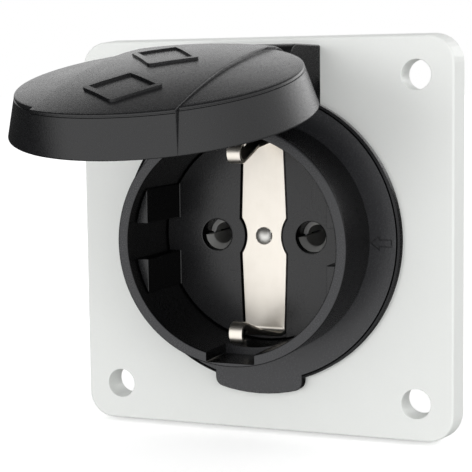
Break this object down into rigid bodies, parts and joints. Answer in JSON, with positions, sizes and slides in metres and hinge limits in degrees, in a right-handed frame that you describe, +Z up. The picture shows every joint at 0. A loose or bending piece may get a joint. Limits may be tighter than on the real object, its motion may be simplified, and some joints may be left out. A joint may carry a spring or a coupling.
{
  "type": "industrial panel socket",
  "caption": "Panel socket with a square flange, round plug recess, two pin contacts, side earth clips and a hinged lid standing open.",
  "frame": {"origin": "centre of the flange's rear face, on the socket's axis, where the flange lies on the panel", "axes": "+Z up towards the hinge, -Y along the socket's axis out of the front, +X to the right as seen from the front"},
  "size_m": [0.075, 0.0997, 0.075],
  "materials": {
    "flange_grey": "light grey moulded plastic, satin",
    "body_black": "dark grey moulded plastic, matte, faintly speckled",
    "carrier_grey": "dark grey moulded plastic",
    "seal_rubber": "black rubber",
    "nickel_plate": "satin nickel plate",
    "contact_brass": "bare brass",
    "zinc_steel": "bright zinc plate"
  },
  "bodies": {
    "socket": {"flange": "flange_grey", "flange_gasket": "seal_rubber", "socket_body": "body_black", "body_seal": "seal_rubber", "contact_insert": "body_black", "insert_seal": "seal_rubber", "terminal_carrier": "carrier_grey", "earth_strip": "nickel_plate", "earth_rivet": "nickel_plate", "earth_bar": "contact_brass", "left_contact": "contact_brass", "right_contact": "contact_brass", "contact_springs": "zinc_steel", "left_terminal": "contact_brass", "right_terminal": "contact_brass", "earth_terminal": "contact_brass", "terminal_screws": "zinc_steel", "insert_screws": "zinc_steel", "hinge_pin": "zinc_steel"},
    "lid": {"lid": "body_black", "lid_gasket": "seal_rubber"}
  },
  "joints": [
    {"name": "lid_hinge", "type": "hinge", "parent": "socket", "child": "lid", "pos_m": [0, -0.01825, 0.031], "axis": [-1, 0, 0], "range_deg": [-77, 28]}
  ]
}
